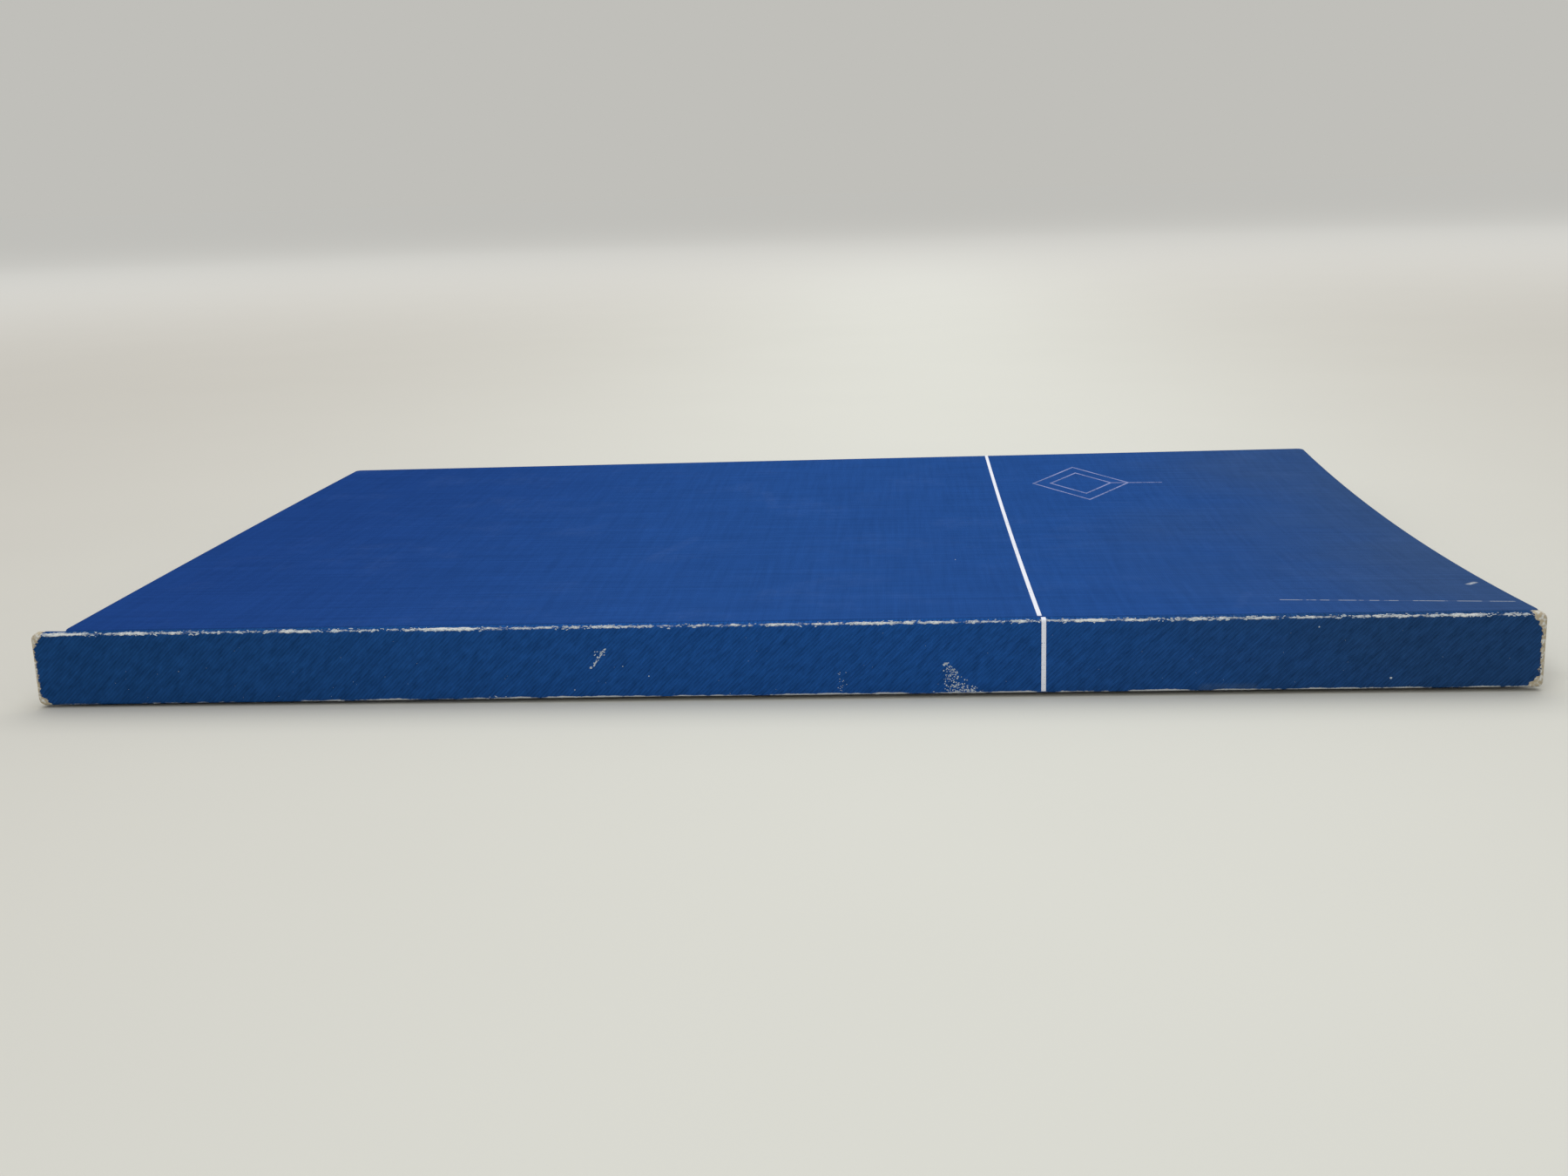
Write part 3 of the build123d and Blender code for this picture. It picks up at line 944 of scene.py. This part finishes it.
def crown(y):
    """Height of the block's upper face, sinking from the joint to where the board hollows."""
    start, end = cover_plan("front")[1]
    hollow = length("hollow_tail")
    rise = length("rise_tail")
    lowest = 0.5 - rise / (8 * hollow)
    share = min(lowest, max(0.0, (y - start) / (end - start)))
    return box_mm("page_block")[1].z + rise * share - 4 * hollow * share * (1 - share)


def leaf_block():
    """The block: layers of leaves with uneven edges, pressed together away from the folds."""
    book = sizes()
    draw = random.Random(book.seed + 1)
    low, high = box_mm("page_block")
    bm = ruled_block(
        (low.x, high.x), (low.y, high.y), (low.z, high.z), columns=14, rows=30, layers=book.leaves
    )
    step = length("leaf_step")
    offsets = []
    for index in range(book.leaves + 1):
        base = step * (index % 2)
        offsets.append((base + draw.uniform(0, step), base + draw.uniform(0, step)))
    for vert in bm.verts:
        x, y, z = vert.co
        fore, ends = offsets[round((z - low.z) / (high.z - low.z) * book.leaves)]
        ripple = 1 + noise.noise(Vector((x * 0.02, y * 0.02, z * 1.7)))
        if y > high.y - TOUCH:
            vert.co.y -= fore * ripple
        if x < low.x + TOUCH:
            vert.co.x += ends * ripple
        elif x > high.x - TOUCH:
            vert.co.x -= ends * ripple
        press = (crown(vert.co.y) - low.z) / (high.z - low.z)
        vert.co.z = low.z + (z - low.z) * press
    return bm


def loose_leaf(side):
    """The free half of an endpaper, lying on the block."""
    paper = length("endpaper")
    low, high = box_mm("page_block")
    z_limits = (high.z, high.z + paper) if side == "front" else (low.z - paper, low.z)
    bm = ruled_block((low.x, high.x), (low.y, high.y), z_limits, columns=14, rows=40)
    if side == "front":
        for vert in bm.verts:
            vert.co.z += crown(vert.co.y) - high.z
    return bm


# A band's bead: its radius between two turns as a share of the full one, and rings in a turn
BEAD_WAIST = 0.82
BEAD_RINGS = 4


def band_bead(name, direction):
    """A bead of thread wound in turns across the folds at one end, with its tape."""
    low, high = box_mm(name)
    pages_low, pages_high = box_mm("page_block")
    end_x = pages_low.x if direction < 0 else pages_high.x
    reach = abs((low.x if direction < 0 else high.x) - end_x) / 2
    rings = round((high.z - low.z) / BAND_TURN) * BEAD_RINGS
    bm = bmesh.new()
    centre = Vector((end_x + direction * reach, pages_low.y + reach, low.z))
    made = bmesh.ops.create_circle(
        bm, cap_ends=True, segments=16, radius=reach * BEAD_WAIST, matrix=Matrix.Translation(centre)
    )
    ring = [f for v in made["verts"][:1] for f in v.link_faces]
    rise = (high.z - low.z) / rings
    for index in range(1, rings + 1):
        ring = bmesh.ops.extrude_face_region(bm, geom=ring)["geom"]
        verts = [item for item in ring if isinstance(item, bmesh.types.BMVert)]
        ring = [item for item in ring if isinstance(item, bmesh.types.BMFace)]
        bmesh.ops.translate(bm, verts=verts, vec=(0, 0, rise))
        swell = math.sin(math.pi * (index % BEAD_RINGS) / BEAD_RINGS)
        wanted = reach * (BEAD_WAIST + (1 - BEAD_WAIST) * swell)
        for vert in verts:
            arm = Vector((vert.co.x - centre.x, vert.co.y - centre.y))
            arm *= wanted / arm.length
            vert.co.x = centre.x + arm.x
            vert.co.y = centre.y + arm.y
    caps = [f for f in bm.faces if len(f.verts) > 4]
    inner = [f for f in caps if low.z + TOUCH < f.calc_center_median().z < high.z - TOUCH]
    bmesh.ops.delete(bm, geom=inner, context="FACES_ONLY")
    tape = (low.x, end_x - 0.1) if direction > 0 else (end_x + 0.1, high.x)
    block(bm, tape, (low.y, pages_low.y), (low.z, high.z))
    return bm


class BOOK_OT_block(bpy.types.Operator):
    """Leaves, the free endpapers and the woven bands"""

    bl_idname = "book.block"
    bl_label = "Block"

    def execute(self, context):
        finished("leaves", leaf_block(), leaf_finish(), "book_block", ["page_block"], 20)
        for side in ("front", "back"):
            finished(
                side + "_free_endpaper", loose_leaf(side), Finish.made["endpaper_sheet"],
                "book_block", [side + "_flyleaf"],
            )
        band = band_finish()
        for name, direction in (("head_band", -1), ("tail_band", 1)):
            finished("woven_" + name, band_bead(name, direction), band, "book_block", [name])
        return {"FINISHED"}


# Printing

# Thickness of the print, and how far the spine's line reaches over its top
FILM = 0.05
LINE_REACH = 1.85

# The figure: length of a lozenge as a share of its depth, and the gap between the two
FIGURE_SHAPE = 0.56
FIGURE_GAP = 5.0


def cover_line():
    """The straight line printed across the front cover."""
    low, high = box_mm("cover_stripe")
    bm = ruled_block((low.x, high.x), (low.y, high.y), (0.0, FILM), rows=78)
    lay(bm)
    return bm


def spine_line():
    """The same line over the spine's top and down its face."""
    low, high = box_mm("spine_stripe")
    spine_low, spine_high = box_mm("spine_cloth")
    y_limits = (spine_low.y - FILM, spine_low.y + LINE_REACH)
    bm = bmesh.new()
    block(bm, (low.x, high.x), y_limits, (low.z, spine_high.z + FILM))
    edge = [
        e for e in bm.edges if all(v.co.y < spine_low.y and v.co.z > spine_high.z for v in e.verts)
    ]
    rounded(bm, edge, length("spine_radius"), 6)
    return bm


def lozenge(bm, centre, half_length, half_depth, width):
    """One lozenge drawn as a line of even width."""
    inward = width * math.hypot(half_length, half_depth)
    inner_share = 1 - inward / (half_length * half_depth)
    rings = []
    for share in (1.0, inner_share):
        scale = Matrix.Diagonal((half_length * share, half_depth * share, 1.0, 1.0))
        place = Matrix.Translation(centre) @ scale
        made = bmesh.ops.create_circle(bm, cap_ends=False, segments=4, radius=1.0, matrix=place)
        rings += {edge for vert in made["verts"] for edge in vert.link_edges}
    bmesh.ops.bridge_loops(bm, edges=rings)


def cover_figure():
    """Two nested lozenges joined by a rule."""
    low, high = box_mm("cover_motif")
    width = length("motif_line")
    half_depth = (high.y - low.y) / 2
    half_length = half_depth * FIGURE_SHAPE
    centre = Vector((low.x + half_length, (low.y + high.y) / 2, 0))
    inner = 1 - FIGURE_GAP / half_length
    bm = bmesh.new()
    for share in (1.0, inner):
        lozenge(bm, centre, half_length * share, half_depth * share, width)
    long_edges = [edge for edge in bm.edges if edge.calc_length() > 3 * width]
    bmesh.ops.subdivide_edges(bm, edges=long_edges, cuts=11)
    thick = bmesh.ops.extrude_face_region(bm, geom=bm.faces[:])["geom"]
    raised = [item for item in thick if isinstance(item, bmesh.types.BMVert)]
    bmesh.ops.translate(bm, verts=raised, vec=(0, 0, FILM))
    start = centre.x + half_length * inner - width
    block(bm, (start, high.x), (centre.y - width / 2, centre.y + width / 2), (0.0, FILM * 0.98))
    lay(bm)
    return bm


class BOOK_OT_printing(bpy.types.Operator):
    """The white line and the faint figure printed on the cloth"""

    bl_idname = "book.printing"
    bl_label = "Printing"

    def execute(self, context):
        tone = colours()
        white = print_finish("printed_white", tone.print_white, tone.spine, 0.72)
        faint = print_finish("printed_faint", tone.print_faint, tone.cover, 0.52)
        finished("cover_line", cover_line(), white, "front_cover", ["cover_stripe"])
        finished("spine_line", spine_line(), white, "book_block", ["spine_stripe"])
        finished("cover_figure", cover_figure(), faint, "front_cover", ["cover_motif"])
        return {"FINISHED"}


COVER_FLECKS = ((38.5, -40.0, 0.22), (148.3, -69.6, 0.3), (147.8, -70.3, 0.22), (149.0, -69.0, 0.2))


class BOOK_OT_cover_marks(bpy.types.Operator):
    """Fine white marks that handling has left on the front cover"""

    bl_idname = "book.cover_marks"
    bl_label = "Cover marks"

    def execute(self, context):
        draw = random.Random(sizes().seed + 2)
        flat = Matrix.Identity(4)
        bm = bmesh.new()
        for x, y, size in COVER_FLECKS:
            fleck(bm, Vector((x, y, cover_height(x, y))), flat, size, 1.3, draw.uniform(0, 3), draw)
        finished("cover_flecks", bm, Finish.made["bare_fibre"], "front_cover")
        return {"FINISHED"}


class BOOK_OT_carried(bpy.types.Operator):
    """Finishes for the boards, the gauze and the lining, whose solids are carried over"""

    bl_idname = "book.carried"
    bl_label = "Boards, gauze and lining"

    def execute(self, context):
        for finish, names in (
            (board_finish(), ("front_board", "back_board", "spine_board")),
            (gauze_finish(), ("super", "front_super_wing", "back_super_wing")),
            (kraft_finish(), ("spine_lining",)),
        ):
            for name in names:
                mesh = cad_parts[name].data
                mesh.materials.clear()
                mesh.materials.append(finish)
        return {"FINISHED"}


# Stage

CAMERA_PLACE = (25.086, -443.677, 101.229)
CAMERA_TURN = (76.8973, 1.7155, 3.4582)
CAMERA_LENS = 40.0248
CAMERA_SENSOR = 36.0

FLOOR_REACH = 14000.0
WORLD_STRENGTH = 0.55

# Lamps that look at the origin: name, place and size in metres, and power in watts
LAMPS = (("overhead", (0.0, 0.5, 1.6), 2.0, 22.0), ("fill", (-0.6, -1.6, 0.9), 1.4, 6.0))


class BOOK_OT_stage(bpy.types.Operator):
    """Pale floor, soft light and the camera"""

    bl_idname = "book.stage"
    bl_label = "Stage"

    def execute(self, context):
        self.floor()
        self.world()
        self.lamps()
        self.camera()
        bpy.context.scene.view_settings.view_transform = "Standard"
        return {"FINISHED"}

    def floor(self):
        """A wide flat floor."""
        bm = bmesh.new()
        bmesh.ops.create_grid(bm, x_segments=2, y_segments=2, size=FLOOR_REACH)
        finished("studio_floor", bm, stage_finish())

    def world(self):
        """White light from all around, with a plain background where the camera sees it."""
        world = bpy.data.worlds.new("studio")
        world.use_nodes = True
        tree = world.node_tree
        light = tree.nodes["Background"]
        light.inputs["Color"].default_value = WHITE
        light.inputs["Strength"].default_value = WORLD_STRENGTH
        seen = tree.nodes.new("ShaderNodeBackground")
        seen.inputs["Color"].default_value = colours().backdrop
        choice = tree.nodes.new("ShaderNodeMixShader")
        ray = tree.nodes.new("ShaderNodeLightPath")
        tree.links.new(ray.outputs["Is Camera Ray"], choice.inputs[0])
        tree.links.new(light.outputs[0], choice.inputs[1])
        tree.links.new(seen.outputs[0], choice.inputs[2])
        tree.links.new(choice.outputs[0], tree.nodes["World Output"].inputs["Surface"])
        bpy.context.scene.world = world

    def lamps(self):
        """A soft light overhead and a fill."""
        for name, place, size, power in LAMPS:
            data = bpy.data.lights.new(name, "AREA")
            data.size = size
            data.energy = power
            lamp = bpy.data.objects.new(name, data)
            lamp.location = place
            lamp.rotation_euler = (-Vector(place)).to_track_quat("-Z", "Y").to_euler()
            bpy.context.scene.collection.objects.link(lamp)

    def camera(self):
        """The camera that looks over the spine from a little above it."""
        data = bpy.data.cameras.new("camera")
        data.sensor_fit = "HORIZONTAL"
        data.sensor_width = CAMERA_SENSOR
        data.lens = CAMERA_LENS
        data.clip_start = 0.01
        camera = bpy.data.objects.new("camera", data)
        camera.location = Vector(CAMERA_PLACE) * MM
        camera.rotation_euler = [math.radians(angle) for angle in CAMERA_TURN]
        bpy.context.scene.collection.objects.link(camera)
        bpy.context.scene.camera = camera


# In the order in which they make the pieces
OPERATORS = (
    BOOK_OT_stage, BOOK_OT_covers, BOOK_OT_spine, BOOK_OT_joints, BOOK_OT_block,
    BOOK_OT_printing, BOOK_OT_cover_marks, BOOK_OT_carried,
)


class BOOK_PT_panel(bpy.types.Panel):
    """Lists the book's pieces in the order in which they are made"""

    bl_idname = "BOOK_PT_panel"
    bl_label = "Book"
    bl_space_type = "VIEW_3D"
    bl_region_type = "UI"
    bl_category = "Book"

    def draw(self, context):
        for operator in OPERATORS:
            self.layout.operator(operator.bl_idname)
        for group in (context.scene.book_sizes, context.scene.book_colours):
            for name in group.bl_rna.properties.keys():
                if name not in ("rna_type", "name"):
                    self.layout.prop(group, name, text=name.replace("_", " ").capitalize())


CLASSES = (BookSizes, BookColours, *OPERATORS, BOOK_PT_panel)


def register():
    for item in CLASSES:
        bpy.utils.register_class(item)
    bpy.types.Scene.book_sizes = bpy.props.PointerProperty(type=BookSizes)
    bpy.types.Scene.book_colours = bpy.props.PointerProperty(type=BookColours)


def unregister():
    del bpy.types.Scene.book_colours
    del bpy.types.Scene.book_sizes
    for item in reversed(CLASSES):
        bpy.utils.unregister_class(item)


def main():
    register()
    for operator in OPERATORS:
        getattr(bpy.ops.book, operator.bl_idname.split(".")[1])()


if __name__ == "__main__":
    main()
